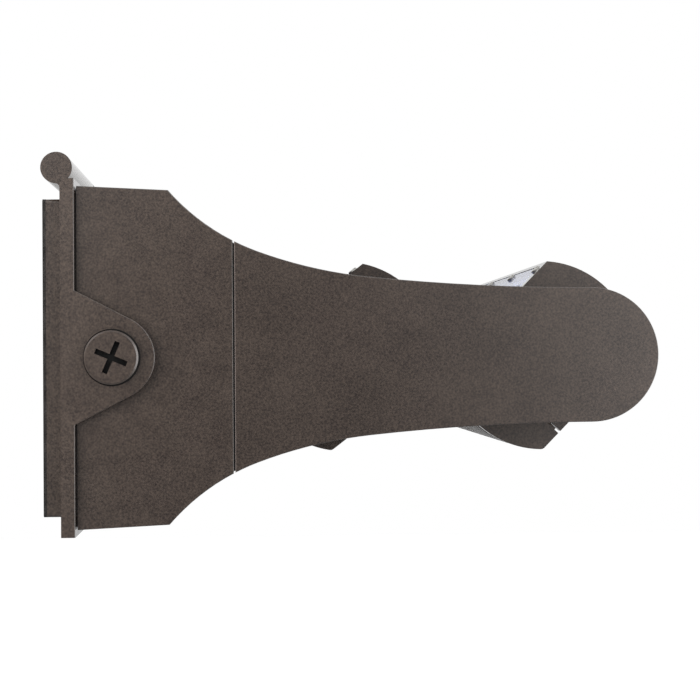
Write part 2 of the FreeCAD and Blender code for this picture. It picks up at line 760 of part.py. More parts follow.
def build_housing(side_view):
    """The driver housing: an open-backed shell with two knuckles and two screw slots."""
    width = (-box_side, box_side)
    inside = (-box_inside, box_inside)
    outer = common(extrude(side_view, "side", *width), tall((box_rear, box_front), width))
    hollow = common(extrude(inset_outline(side_view, s.housing_wall), "side", *inside),
                    tall((box_rear, front_inside), inside))
    half_knuckle = s.knuckle_width / 2
    knuckles = [extrude(knuckle_outline(), "side", y - half_knuckle, y + half_knuckle)
                for y in knuckle_spots]
    bosses = [rod("x", centre, (driver_face, front_inside), s.driver_boss_radius)
              for centre in driver_spots]
    body = fuse(cut(outer, hollow), *knuckles, *bosses)
    pin_hole = rod("y", (s.hinge_out, hinge_height), width, s.hinge_pin_radius + s.pin_running_gap)
    driver_holes = [rod("x", centre, (driver_face, front_inside + s.driver_thread_depth),
                        s.medium_shank_radius + s.thread_gap) for centre in driver_spots]
    front_wall = (front_inside, box_front)
    bolt_holes = [rod("x", (side * root_across, z), front_wall, s.arm_bolt_radius + s.hole_gap)
                  for side in SIDES.values() for z in bolt_heights]
    lead_hole = rod("x", (root_across, 0), front_wall, lead_bush_radius + s.thread_gap)
    body = cut(body, screw_slots(width))
    body = cut(body, pin_hole, lead_hole, *driver_holes, *bolt_holes)
    side_faces = (number(-box_side), number(box_side))
    slot_end = number(side_screw_x + s.ear_nose_radius)
    slot_half_height = number(s.ear_root_height / 2)
    body = rounded(body, s.edge_round, lambda edge: lies_at(edge, "Y", side_faces)
                   and not lies_at(edge, "X", [number(box_rear)])
                   and (edge.CenterOfMass.x > slot_end or abs(edge.CenterOfMass.z) > slot_half_height))
    node(body, "driver_housing")


def screw_slots(width):
    """The arc that the side screws follow as the housing swings, open at the back."""
    half_slot = s.side_shank_radius + s.side_slot_gap
    out = side_screw_x - s.hinge_out
    swing = Term(f"sqrt({out} ^ 2 + {hinge_height} ^ 2)")
    hinge_axis = (s.hinge_out, hinge_height)
    track = cut(rod("y", hinge_axis, width, swing + half_slot),
                rod("y", hinge_axis, width, swing - half_slot))
    behind = box((0, side_screw_x), width, (-s.ear_root_height / 2, s.ear_root_height / 2))
    return fuse(common(track, behind), rod("y", (side_screw_x, 0), width, half_slot))


def build_driver():
    """The LED driver on its bosses, its screws, and the terminal block beside it."""
    half_height = s.driver_height / 2
    case = rounded_slab("wall", 2 * driver_end, s.driver_height, s.driver_corner,
                        driver_face - s.driver_depth, driver_face)
    flange = box((driver_seat, driver_face), (-flange_end, flange_end), (-half_height, half_height))
    holes = [rod("x", centre, (driver_seat, driver_face), s.medium_shank_radius + s.hole_gap)
             for centre in driver_spots]
    node(cut(fuse(case, flange), *holes), "led_driver")
    tip = front_inside + s.driver_thread_depth - s.thread_gap
    node(group(*[screw("x", centre, driver_seat, tip, s.medium_shank_radius, s.medium_head_radius,
                       s.medium_head_height) for centre in driver_spots]), "driver_screws")
    block_left = s.terminal_side_gap - box_inside
    block_right = block_left + s.terminal_width
    half_block = s.terminal_height / 2
    terminal_face = front_inside - s.terminal_depth
    block = box((terminal_face, front_inside), (block_left, block_right), (-half_block, half_block))
    entries = [rod("x", ((block_left + block_right) / 2, step * s.terminal_pitch),
                   (terminal_face, terminal_face + s.terminal_entry_depth), s.terminal_entry_radius)
               for step in (-1, 0, 1)]
    node(cut(block, *entries), "terminal_block")


arm_inside = arm_root + s.arm_root_wall
arm_end = tip_centre + s.tip_radius
pivots = (inner_pivot, outer_pivot)
mid_post = (inner_pivot + outer_pivot) / 2
post_spots = [(arm_root + s.root_post_reach, -s.root_post_height / 2),
              (arm_root + s.root_post_reach, s.root_post_height / 2),
              (mid_post, -s.mid_post_height / 2),
              (mid_post, s.mid_post_height / 2),
              (outer_pivot + s.tip_post_reach, 0)]


def build_arms(side_view):
    """Two hollow arms with pivot bosses, each with an inner cover, screws, bolts and a gasket."""
    gaskets = []
    bolts = []
    cover_screws = []
    bushes = []
    for name, side in SIDES.items():
        node(arm(side_view, side), f"{name}_arm")
        node(arm_cover(side_view, side), f"{name}_arm_cover")
        gaskets.append(arm_gasket(side_view, side))
        bolts += [screw("x", (side * root_across, z), front_inside, arm_inside - s.screw_tip_gap,
                        s.arm_bolt_radius, s.arm_bolt_head_radius, s.arm_bolt_head_height)
                  for z in bolt_heights]
        tip = side * (cover_back + s.post_thread_depth - s.screw_tip_gap)
        cover_screws += [screw("y", centre, side * arm_inner, tip, s.small_shank_radius,
                               s.small_head_radius, s.small_head_height) for centre in post_spots]
        bushes += [pivot_bush(side, pivot) for pivot in pivots]
    node(group(*gaskets), "arm_gaskets")
    node(group(*bolts), "arm_bolts")
    node(group(*cover_screws), "arm_cover_screws")
    node(group(*bushes), "pivot_bushes")


def arm(side_view, side):
    whole = across(side, arm_inner, box_side)
    hollow = across(side, arm_inner, arm_floor)
    body = common(extrude(side_view, "side", *whole), tall((arm_root, arm_end), whole))
    pocket = common(extrude(inset_outline(side_view, s.arm_wall), "side", *hollow),
                    tall((arm_inside, arm_end), hollow))
    bosses = [rod("y", (pivot, 0), hollow, s.pivot_boss_radius) for pivot in pivots]
    posts = [rod("y", centre, across(side, cover_back, arm_floor), s.cover_post_radius)
             for centre in post_spots]
    body = fuse(cut(body, pocket), *bosses, *posts)
    chamber = across(side, bush_back, bush_back + s.lead_chamber_depth)
    holes = [rod("y", (pivot, 0), across(side, arm_inner, bush_back), bush_outer + s.thread_gap)
             for pivot in pivots]
    holes += [rod("y", (pivot, 0), chamber, s.trunnion_radius) for pivot in pivots]
    holes += [box((pivot - s.pivot_boss_radius, pivot), chamber, (-s.lead_window / 2, s.lead_window / 2))
              for pivot in pivots]
    holes += [rod("y", centre, across(side, cover_back, cover_back + s.post_thread_depth),
                  s.small_shank_radius + s.thread_gap) for centre in post_spots]
    holes += [rod("x", (side * root_across, z), (arm_root, arm_inside), s.arm_bolt_radius + s.thread_gap)
              for z in bolt_heights]
    holes.append(rod("x", (side * root_across, 0), (arm_root, arm_inside), s.lead_bush_bore))
    outer_face = number(side * box_side)
    return rounded(cut(body, *holes), s.edge_round, lambda edge: lies_at(edge, "Y", [outer_face]))


def arm_cover(side_view, side):
    span = across(side, arm_inner, cover_back)
    gap = s.arm_wall + s.cover_gap
    sheet_metal = common(extrude(inset_outline(side_view, gap), "side", *span),
                         tall((arm_inside + s.cover_gap, arm_end), span))
    holes = [rod("y", (pivot, 0), span, s.pivot_boss_radius + s.cover_gap) for pivot in pivots]
    holes += [rod("y", centre, span, s.small_shank_radius + s.hole_gap) for centre in post_spots]
    return cut(sheet_metal, *holes)


def arm_gasket(side_view, side):
    span = across(side, arm_inner + s.arm_gasket_inset, box_side - s.arm_gasket_inset)
    pad = common(extrude(inset_outline(side_view, s.arm_gasket_inset), "side", *span),
                 tall((box_front, arm_root), span))
    holes = [rod("x", (side * root_across, z), (box_front, arm_root), s.arm_bolt_radius + s.hole_gap)
             for z in bolt_heights]
    holes.append(rod("x", (side * root_across, 0), (box_front, arm_root), lead_bush_radius + s.hole_gap))
    return cut(pad, *holes)


def pivot_bush(side, pivot):
    sleeve = rod("y", (pivot, 0), across(side, arm_inner, bush_back), bush_outer)
    flange = rod("y", (pivot, 0), across(side, trunnion_seat, arm_inner), s.bush_flange_radius)
    bore = rod("y", (pivot, 0), across(side, trunnion_seat, bush_back), s.trunnion_radius + s.trunnion_gap)
    return cut(fuse(sleeve, flange), bore)


# A module is drawn with its tilt axis on Y and its light facing +Z, then turned and placed.
base_under = s.module_front - s.base_thick
lens_ledge = s.module_front - s.lens_seat_depth
board_floor = lens_ledge - s.board_seat_depth
board_top = board_floor + s.board_thick
lens_under = lens_ledge + s.lens_gasket_thick
lens_top = lens_under + s.lens_thick
flat_half = Term(f"sqrt({s.module_radius} ^ 2 - {s.module_front} ^ 2)")
seat_half_x = flat_half - s.seat_side_margin
seat_half_y = module_end - s.seat_end_margin
fin_zone = module_end - s.end_plate_thick - s.end_gap - s.fin_thick / 2
fin_pitch = 2 * fin_zone / (s.fin_count - 1)
lead_gap_y = fin_zone - fin_pitch / 2


def even_spots(half_length, count):
    """Evenly spaced places from -half_length to half_length."""
    return [-half_length + half_length * (2 * index / (count - 1)) for index in range(count)]


dome_spots = [(x * s.dome_rows_apart / 2, y) for x in (-1, 1)
              for y in even_spots(seat_half_y - s.ledge_width - s.dome_radius, SIZES["domes_per_row"])]
lens_screw_spots = [(x * (seat_half_x - s.ledge_width / 2), y) for x in (-1, 1)
                    for y in even_spots(seat_half_y - s.ledge_width / 2, SIZES["lens_screws_per_side"])]
trunnion_screw_spots = [(s.trunnion_screw_circle * round(math.cos(math.radians(turn)), 6),
                         s.trunnion_screw_circle * round(math.sin(math.radians(turn)), 6))
                        for turn in (90, 210, 330)]


def seat(inset, low, high):
    """A rounded slab in the outline of the lens seat, smaller by an inset all round."""
    width = 2 * (seat_half_x - inset)
    length = 2 * (seat_half_y - inset)
    return rounded_slab("face", width, length, s.seat_corner, low, high)


def heat_sink():
    """A barrel with two flats: a base that seats board and lens, end plates and fins across."""
    length = (-module_end, module_end)
    across_barrel = (-s.module_radius, s.module_radius)
    blank = common(rod("y", (0, 0), length, s.module_radius),
                   box(across_barrel, length, (-s.module_back, s.module_front)))
    ends = (number(-module_end), number(module_end))
    blank = rounded(blank, s.module_back_round, lambda edge: lies_at(edge, "Z", [number(-s.module_back)])
                    and not lies_at(edge, "Y", ends))
    fins = even_spots(fin_zone, SIZES["fin_count"])
    half_fin = s.fin_thick / 2
    plate_inside = module_end - s.end_plate_thick
    gap_starts = [-plate_inside] + [y + half_fin for y in fins]
    gap_ends = [y - half_fin for y in fins] + [plate_inside]
    gaps = [box(across_barrel, gap, (-s.module_back, base_under)) for gap in zip(gap_starts, gap_ends)]
    body = cut(blank, *gaps)
    slots = [box((x - s.fin_slot_width / 2, x + s.fin_slot_width / 2), length,
                 (-s.module_back, s.fin_slot_depth - s.module_back))
             for x in (-s.fin_slot_across / 2, s.fin_slot_across / 2)]
    tunnel = rod("y", (0, 0), length, s.trunnion_bore_radius)
    lead_hole = rod("z", (0, lead_gap_y), (base_under, board_floor), s.lead_radius + s.lead_gap)
    small_thread = s.small_shank_radius + s.thread_gap
    screw_holes = [rod("y", centre, across(side, plate_inside, module_end), small_thread)
                   for side in SIDES.values() for centre in trunnion_screw_spots]
    lens_thread = s.lens_shank_radius + s.thread_gap
    lens_holes = [rod("z", centre, (lens_ledge - s.lens_screw_depth, lens_ledge), lens_thread)
                  for centre in lens_screw_spots]
    lens_seat = seat(0, lens_ledge, s.module_front)
    board_seat = seat(s.ledge_width, board_floor, lens_ledge)
    body = cut(body, tunnel, *slots, *screw_holes)
    return cut(body, lens_seat, board_seat, lead_hole, *lens_holes)


def lens():
    """The clear cover plate with a low dome over each LED."""
    plate = seat(s.seat_gap, lens_under, lens_top)
    sphere_radius = (Term(f"{s.dome_radius} ^ 2") + Term(f"{s.dome_height} ^ 2")) / (2 * s.dome_height)
    domes = []
    for x, y in dome_spots:
        dome = doc.addObject("Part::Sphere", "dome")
        bind(dome, "Radius", sphere_radius)
        bind(dome, "Angle1", f"asin(1 - {s.dome_height} / {sphere_radius})")
        place(dome, x, y, lens_top + s.dome_height - sphere_radius)
        domes.append(dome)
    holes = [rod("z", centre, (lens_under, lens_top), s.lens_shank_radius + s.hole_gap)
             for centre in lens_screw_spots]
    return cut(fuse(plate, *domes), *holes)


def lens_gasket():
    rubber = cut(seat(s.seat_gap, lens_ledge, lens_under),
                 seat(s.ledge_width - s.seat_gap, lens_ledge, lens_under))
    holes = [rod("z", centre, (lens_ledge, lens_under), s.lens_shank_radius + s.hole_gap)
             for centre in lens_screw_spots]
    return cut(rubber, *holes)


def leds():
    half_side = s.led_side / 2
    return group(*[box((x - half_side, x + half_side), (y - half_side, y + half_side),
                       (board_top, board_top + s.led_height)) for x, y in dome_spots])


def lens_screws():
    tip = lens_ledge - s.lens_screw_depth + s.thread_gap
    return group(*[screw("z", centre, lens_top, tip, s.lens_shank_radius, s.lens_head_radius,
                         s.lens_head_height) for centre in lens_screw_spots])


def trunnions():
    """Two hollow stub shafts with flanges, one on each end plate."""
    stubs = []
    shaft_end = bush_back - s.trunnion_end_gap
    for side in SIDES.values():
        flange = rod("y", (0, 0), across(side, module_end, trunnion_face), s.trunnion_flange_radius)
        shaft = rod("y", (0, 0), across(side, module_end, shaft_end), s.trunnion_radius)
        bore = rod("y", (0, 0), across(side, module_end, shaft_end), s.trunnion_bore_radius)
        sunk = across(side, trunnion_face - s.small_head_height, trunnion_face)
        heads = [rod("y", centre, sunk, s.small_head_radius + s.hole_gap)
                 for centre in trunnion_screw_spots]
        through = across(side, module_end, trunnion_face)
        shanks = [rod("y", centre, through, s.small_shank_radius + s.hole_gap)
                  for centre in trunnion_screw_spots]
        stubs.append(cut(fuse(flange, shaft), bore, *heads, *shanks))
    return group(*stubs)


def trunnion_screws():
    tip = module_end - s.end_plate_thick
    seat_y = trunnion_face - s.small_head_height
    return group(*[screw("y", centre, side * seat_y, side * tip, s.small_shank_radius,
                         s.small_head_radius, s.small_head_height)
                   for side in SIDES.values() for centre in trunnion_screw_spots])


LEAD_VOLUME_SLACK = 0.01


def tube(points, bends, radius):
    """A round lead along straight runs joined by arcs; bends gives the arc at each inner point."""
    corners = [Vector(*[number(term) for term in point]) for point in points]
    edges = []
    start = corners[0]
    for before, corner, after, bend in zip(corners, corners[1:], corners[2:], bends):
        back = (before - corner).normalize()
        ahead = (after - corner).normalize()
        half_turn = back.getAngle(ahead) / 2
        reach = number(bend) / math.tan(half_turn)
        middle = (back + ahead).normalize()
        hub = corner + middle * (number(bend) / math.sin(half_turn))
        edges.append(Part.LineSegment(start, corner + back * reach).toShape())
        arc = Part.Arc(corner + back * reach, hub - middle * number(bend), corner + ahead * reach)
        edges.append(arc.toShape())
        start = corner + ahead * reach
    edges.append(Part.LineSegment(start, corners[-1]).toShape())
    path = Part.Wire(edges)
    section = Part.Wire(Part.makeCircle(number(radius), corners[0], corners[1] - corners[0]))
    item = doc.addObject("Part::Feature", "lead")
    item.Shape = path.makePipeShell([section], True, False)
    expected = math.pi * number(radius) ** 2 * path.Length
    if abs(item.Shape.Volume / expected - 1) > LEAD_VOLUME_SLACK:
        raise RuntimeError("a lead's volume differs from its section times its length")
    return item


def module_pieces():
    """All pieces of one module, drawn about its tilt axis."""
    tail_route = [(0, lead_split, 0), (0, lead_gap_y, 0), (0, lead_gap_y, board_floor)]
    return {
        "heat_sink": heat_sink(),
        "led_board": seat(s.ledge_width + s.seat_gap, board_floor, board_top),
        "leds": leds(),
        "lens_gasket": lens_gasket(),
        "lens": lens(),
        "lens_screws": lens_screws(),
        "trunnions": trunnions(),
        "trunnion_screws": trunnion_screws(),
        "lead_tail": tube(tail_route, [s.lead_tight_bend], s.lead_radius),
    }


def place_module(name, pieces, pivot, face_angle):
    """Places a module on its pivot, with its light facing at face_angle from +X to +Z."""
    for piece, item in pieces.items():
        moved = group(item)
        moved.Placement = Placement(Vector(), Rotation(Vector(0, -1, 0), 1))
        bind(moved, "Placement.Rotation.Angle", face_angle - 90)
        place(moved, pivot, 0, 0)
        node(moved, f"{name}_{piece}")


def build_leads():
    """Two leads from the driver's right end, through the front wall and along the right arm."""
    lip_back = front_inside - s.lead_bush_lip
    lip = rod("x", (root_across, 0), (lip_back, front_inside), lead_bush_radius + s.lead_bush_lip)
    neck = rod("x", (root_across, 0), (front_inside, box_front), lead_bush_radius)
    bore = rod("x", (root_across, 0), (lip_back, box_front), s.lead_bush_bore)
    node(cut(fuse(lip, neck), bore), "lead_grommet")
    leave_x = driver_face - s.driver_depth / 2
    chamber_y = bush_back + s.lead_chamber_depth / 2
    low = -s.lead_pitch / 2
    high = s.lead_pitch / 2
    over_boss = s.pivot_boss_radius + s.lead_pitch
    inner_route = [(leave_x, driver_end, low),
                   (leave_x, root_across, low),
                   (arm_root + s.inner_lead_straight, root_across, low),
                   (inner_pivot - s.inner_window_reach, chamber_y, 0),
                   (inner_pivot, chamber_y, 0),
                   (inner_pivot, lead_split, 0)]
    inner_bends = [s.lead_bend, s.lead_easy_bend, s.lead_easy_bend, s.lead_tight_bend]
    node(tube(inner_route, inner_bends, s.lead_radius), "inner_lead")
    outer_route = [(leave_x, driver_end, high),
                   (leave_x, root_across, high),
                   (arm_root + s.outer_lead_straight, root_across, high),
                   (inner_pivot - s.outer_lead_rise, root_across, over_boss),
                   (inner_pivot + s.outer_lead_crest, root_across, over_boss),
                   (inner_pivot + s.outer_lead_fall, root_across, s.outer_lead_low),
                   (outer_pivot - s.outer_window_reach, chamber_y, 0),
                   (outer_pivot, chamber_y, 0),
                   (outer_pivot, lead_split, 0)]
    outer_bends = [s.lead_bend] * 5 + [s.lead_easy_bend, s.lead_tight_bend]
    node(tube(outer_route, outer_bends, s.lead_radius), "outer_lead")


build_wall_plate()
build_wall_fittings()
build_side_screws()
side_view = side_outline()
build_housing(side_view)
build_driver()
build_arms(side_view)
pieces = module_pieces()
place_module("inner", pieces, inner_pivot, s.inner_face_angle)
place_module("outer", pieces, outer_pivot, s.outer_face_angle)
build_leads()
doc.recompute()

for item in doc.Objects:
    if "Invalid" in item.State or "Error" in item.State:
        raise RuntimeError(f"{item.Label} failed: {item.State}")
for name, item in nodes.items():
    if item.Shape.isNull() or not item.Shape.isValid():
        raise RuntimeError(f"{name} has no valid shape")
    if not item.Shape.Solids:
        raise RuntimeError(f"{name} has no solid")

os.makedirs("parts", exist_ok=True)
for name, item in nodes.items():
    item.Shape.exportStep(os.path.join("parts", f"{name}.step"))
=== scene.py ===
import math

import bmesh
import bpy
from mathutils import Matrix, Vector


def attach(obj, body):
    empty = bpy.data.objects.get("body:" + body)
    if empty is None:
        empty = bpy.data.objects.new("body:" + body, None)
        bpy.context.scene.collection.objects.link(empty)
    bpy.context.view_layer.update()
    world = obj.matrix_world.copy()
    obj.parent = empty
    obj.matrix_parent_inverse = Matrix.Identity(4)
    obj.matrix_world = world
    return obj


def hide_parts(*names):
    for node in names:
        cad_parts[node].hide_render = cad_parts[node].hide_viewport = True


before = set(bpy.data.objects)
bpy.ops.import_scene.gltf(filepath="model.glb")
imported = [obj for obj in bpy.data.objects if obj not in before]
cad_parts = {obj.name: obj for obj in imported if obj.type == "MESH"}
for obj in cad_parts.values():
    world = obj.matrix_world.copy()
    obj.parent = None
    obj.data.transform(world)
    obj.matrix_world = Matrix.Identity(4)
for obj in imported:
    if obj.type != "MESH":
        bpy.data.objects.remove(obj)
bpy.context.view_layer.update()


# Wall plate: one aluminium die casting with its hinge bead, rear rim and two ears, powder-coated
# in dark bronze. It is screwed to the wall through the bosses in its four corners.
class Signal:
    """A shader socket: arithmetic on signals adds Math nodes, and node() adds any other node."""

    def __init__(self, tree, socket=None):
        self.tree = tree
        self.socket = socket

    def node(self, kind, settings=None, inputs=None, output=0):
        made = self.tree.nodes.new("ShaderNode" + kind)
        for name, value in (settings or {}).items():
            setattr(made, name, value)
        for name, value in (inputs or {}).items():
            if isinstance(value, Signal):
                self.tree.links.new(value.socket, made.inputs[name])
            else:
                made.inputs[name].default_value = value
        return Signal(self.tree, made.outputs[output] if made.outputs else None)

    def math(self, operation, first, second):
        return self.node("Math", {"operation": operation}, {0: first, 1: second})

    def __add__(self, other):
        return self.math("ADD", self, other)

    def __radd__(self, other):
        return self.math("ADD", other, self)

    def __sub__(self, other):
        return self.math("SUBTRACT", self, other)

    def __rsub__(self, other):
        return self.math("SUBTRACT", other, self)

    def __mul__(self, other):
        return self.math("MULTIPLY", self, other)

    def __rmul__(self, other):
        return self.math("MULTIPLY", other, self)

    def __mod__(self, other):
        return self.math("FLOORED_MODULO", self, other)

    def __rmod__(self, other):
        return self.math("FLOORED_MODULO", other, self)

    def __lt__(self, other):
        return self.math("LESS_THAN", self, other)

    def __gt__(self, other):
        return self.math("GREATER_THAN", self, other)

    def __abs__(self):
        return self.math("ABSOLUTE", self, 0)


def new_finish(name):
    """An empty material, and a signal to add its nodes with."""
    material = bpy.data.materials.new(name)
    material.use_nodes = True
    material.node_tree.nodes.clear()
    return material, Signal(material.node_tree)


def surface(signal, shader):
    """Ends a material's nodes with this shader."""
    signal.node("OutputMaterial", inputs={"Surface": shader})


def tone(red, green, blue):
    """The linear colour behind what a screen shows as 0 to 255."""
    return (*[((value / 255 + 0.055) / 1.055) ** 2.4 for value in (red, green, blue)], 1)


def blend(signal, factor, low, high):
    """A colour that goes from low to high with the factor."""
    return signal.node("Mix", {"data_type": "RGBA"}, {0: factor, 6: low, 7: high}, output=2)


def place_on(signal):
    """The point on the object, in metres."""
    return signal.node("TexCoord", output=3)


def grain(signal, per_metre, detail=2.0, place=None):
    """Noise around 0.5 with so many cells to the metre."""
    return signal.node("TexNoise", inputs={"Vector": place or place_on(signal), "Scale": per_metre,
                                           "Detail": detail})


def ramp(signal, value, low, high):
    """A value spread out so that low becomes 0 and high becomes 1, and kept between them."""
    return signal.node("MapRange", {"clamp": True}, {"Value": value, "From Min": low, "From Max": high})


def bump(signal, height, depth):
    """The normal of a surface with a relief of so many metres."""
    return signal.node("Bump", inputs={"Height": height, "Strength": 1.0, "Distance": depth})


def dress(material, *nodes):
    """Puts a material on every slot of some CAD nodes."""
    for name in nodes:
        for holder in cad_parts[name].material_slots:
            holder.material = material


BRONZE_LIGHT = tone(60, 52, 47)
BRONZE_DARK = tone(30, 25, 24)
PEPPER_CELLS = 1150
PEEL_CELLS = 520
PEEL_DEPTH = 0.000014


def bronze_coat(name, cloud_cells, cloud_share, marks=None):
    """Baked bronze powder: faint clouds, salt-and-pepper grain and orange peel, with own marks.

    Marks take the colour and give it back changed, with the share of gloss that is left."""
    material, signal = new_finish(name)
    clouds = grain(signal, cloud_cells, 3)
    pepper = grain(signal, PEPPER_CELLS, 2)
    peel = grain(signal, PEEL_CELLS, 2)
    mix = ramp(signal, clouds * cloud_share + pepper * (1 - cloud_share), 0.3, 0.7)
    colour = blend(signal, mix, BRONZE_DARK, BRONZE_LIGHT)
    gloss = 1.0
    if marks:
        colour, gloss = marks(signal, colour)
    shader = signal.node("BsdfPrincipled", inputs={
        "Base Color": colour, "Roughness": 0.28 + clouds * 0.08 + pepper * 0.06 + (1 - gloss) * 0.5,
        "Coat Weight": gloss, "Coat Roughness": 0.05,
        "Normal": bump(signal, peel * 0.7 + pepper * 0.3, PEEL_DEPTH)})
    surface(signal, shader)
    return material


SCREW_AXIS = 0.032
EAR_FACE = 0.129
SCREW_HEAD = 0.012
# The width and colour of the painted contact shadow round the side screw heads.
SCREW_SHADOW_HALF = 0.0007
FACE_SLACK = 0.0003
SCREW_SHADOW = tone(10, 9, 9)


def scaled(signal, place, factors):
    """A place with each of its coordinates multiplied by a factor of its own."""
    return signal.node("VectorMath", {"operation": "MULTIPLY"}, {0: place, 1: factors})


def far_from(signal, place, point):
    """How far a place is from a point."""
    return signal.node("VectorMath", {"operation": "DISTANCE"}, {0: place, 1: point}, output=1)


def coordinate(signal, place, axis):
    """The X, Y or Z of a place, by the number of the axis."""
    return signal.node("SeparateXYZ", inputs={"Vector": place}, output=axis)


def from_axis(signal):
    """How far a point is from the side screws' axis, and from the part's middle plane."""
    flat = scaled(signal, place_on(signal), (1, 0, 1))
    return far_from(signal, flat, (SCREW_AXIS, 0, 0)), abs(coordinate(signal, place_on(signal), 1))


def painted_screw_shadow(signal, colour):
    """A painted contact shadow: a dark ring on the ear round where a screw head beds on it."""
    away, side = from_axis(signal)
    line = (abs(away - SCREW_HEAD) < SCREW_SHADOW_HALF) * (side > EAR_FACE - FACE_SLACK)
    return blend(signal, line, colour, SCREW_SHADOW), 1 - line


dress(bronze_coat("plate_coat", cloud_cells=60, cloud_share=0.2, marks=painted_screw_shadow), "wall_plate")


# Wall gasket: a strip of closed-cell rubber foam, cut to the rim's outline. It is glued to the
# plate's rear rim and seals it against the wall.
BLOOM_CELLS = 160
BLOOM_GAIN = 1.9
BLOOM_LIFT = 0.006
RUBBER_INDEX = 1.41


def rubber(name, colour, pore_cells, pore_depth, rough=0.62):
    """Black rubber with a dusty bloom and small pores."""
    material, signal = new_finish(name)
    pores = signal.node("TexVoronoi", inputs={"Vector": place_on(signal), "Scale": pore_cells})
    bloom = ramp(signal, grain(signal, BLOOM_CELLS, 3), 0.35, 0.75)
    dusty = tuple(value * BLOOM_GAIN + BLOOM_LIFT for value in colour[:3]) + (1,)
    shader = signal.node("BsdfPrincipled", inputs={
        "Base Color": blend(signal, bloom, colour, dusty), "Roughness": rough + bloom * 0.15,
        "IOR": RUBBER_INDEX, "Normal": bump(signal, pores, pore_depth)})
    surface(signal, shader)
    return material


dress(rubber("gasket_foam", tone(20, 19, 19), pore_cells=900, pore_depth=0.0003), "wall_gasket")


# Wire grommet: moulded black rubber, pressed into the plate's wire hole so that its groove holds
# the edge of the plate.
GROMMET_RUBBER = {"colour": tone(24, 24, 25), "pore_cells": 2600, "pore_depth": 0.00004, "rough": 0.5}
dress(rubber("grommet_rubber", **GROMMET_RUBBER), "wire_grommet")


# Ground screw: a steel screw with a hexagon head and washer face, dyed green for the ground wire.
# It is threaded into the front of the wall plate.
GROUND_SEAT = (0.0156, 0.055, -0.045)
GROUND_SCREW = {"head": 0.0038, "height": 0.0026, "shank": 0.002, "reach": 0.0062}
METAL_HAZE_CELLS = 420
METAL_SCRATCH_CELLS = 3200
METAL_SCRATCH_DEPTH = 0.00001


def new_piece(name, shape, material, body, slot, *nodes):
    """Makes an object from a bmesh, which rides on a body and may stand for CAD nodes."""
    bmesh.ops.recalc_face_normals(shape, faces=shape.faces)
    mesh = bpy.data.meshes.new(name)
    shape.to_mesh(mesh)
    shape.free()
    mesh.materials.append(material)
    piece = bpy.data.objects.new(name, mesh)
    bpy.context.scene.collection.objects.link(piece)
    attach(piece, body)
    for node in nodes:
        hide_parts(node)


def next_ring(shape, edges, height, radius=None, scale=1.0):
    """Extrudes a ring of edges to a new height, onto a circle or scaled as it is."""
    made = bmesh.ops.extrude_edge_only(shape, edges=edges)["geom"]
    for corner in [item for item in made if isinstance(item, bmesh.types.BMVert)]:
        flat = corner.co.xy.normalized() * radius if radius else corner.co.xy * scale
        corner.co = (flat.x, flat.y, height)
    return [item for item in made if isinstance(item, bmesh.types.BMEdge)]


def turned(shape, edges, profile):
    """Extrudes a ring of edges through a profile of radii and heights, and closes the end."""
    for radius, height in profile:
        edges = next_ring(shape, edges, height, radius)
    bmesh.ops.contextual_create(shape, geom=edges)


def placed(shape, places):
    """A bmesh with one copy of a shape at each place."""
    pattern = bpy.data.meshes.new("pattern")
    bmesh.ops.recalc_face_normals(shape, faces=shape.faces)
    shape.to_mesh(pattern)
    shape.free()
    copies = bmesh.new()
    for place in places:
        first = len(copies.verts)
        copies.from_mesh(pattern)
        copies.verts.ensure_lookup_table()
        bmesh.ops.transform(copies, matrix=place, verts=copies.verts[first:])
    bpy.data.meshes.remove(pattern)
    return copies


def pointing(spot, out, turn=0.0):
    """The place of a screw whose seat is at a spot and whose head points out, turned on its axis.

    The screws of a set each get a turn of their own, so that their recesses don't line up."""
    return Matrix.Translation(spot) @ Vector(out).to_track_quat("Z", "Y").to_matrix().to_4x4() \
        @ Matrix.Rotation(math.radians(turn), 4, "Z")


def open_rim(shape):
    """The edges where a shape isn't closed yet."""
    return [edge for edge in shape.edges if edge.is_boundary]


def sink(shape, faces, depth, taper=1.0):
    """Pushes faces down into a shape as a recess."""
    made = bmesh.ops.extrude_face_region(shape, geom=faces)["geom"]
    bmesh.ops.delete(shape, geom=[face for face in faces if face.is_valid], context="FACES_ONLY")
    floor = [item for item in made if isinstance(item, bmesh.types.BMVert)]
    bmesh.ops.scale(shape, verts=floor, vec=(taper, taper, 1))
    bmesh.ops.translate(shape, verts=floor, vec=(0, 0, -depth))


def hexagon(radius, height):
    """A flat hexagon with its sides cut into short edges, so that round rings can follow it."""
    shape = bmesh.new()
    bmesh.ops.create_circle(shape, cap_ends=True, segments=6, radius=radius)
    bmesh.ops.translate(shape, verts=shape.verts, vec=(0, 0, height))
    bmesh.ops.subdivide_edges(shape, edges=shape.edges[:], cuts=5)
    return shape


def hexagon_screw(head, height, shank, reach):
    """A screw with a chamfered hexagon on a washer face: the seat is at 0, and the head above it.

    Its details are shares of the head's radius and height, and of the shank's radius and reach."""
    shape = hexagon(0.66 * head, height)
    edges = next_ring(shape, open_rim(shape), 0.9 * height, scale=1.15)
    edges = next_ring(shape, edges, 0.3 * height)
    turned(shape, edges, [(0.94 * head, 0.28 * height), (head, 0.18 * height), (head, 0), (shank, 0),
                          (shank, -0.9 * reach), (0.6 * shank, -reach)])
    return shape


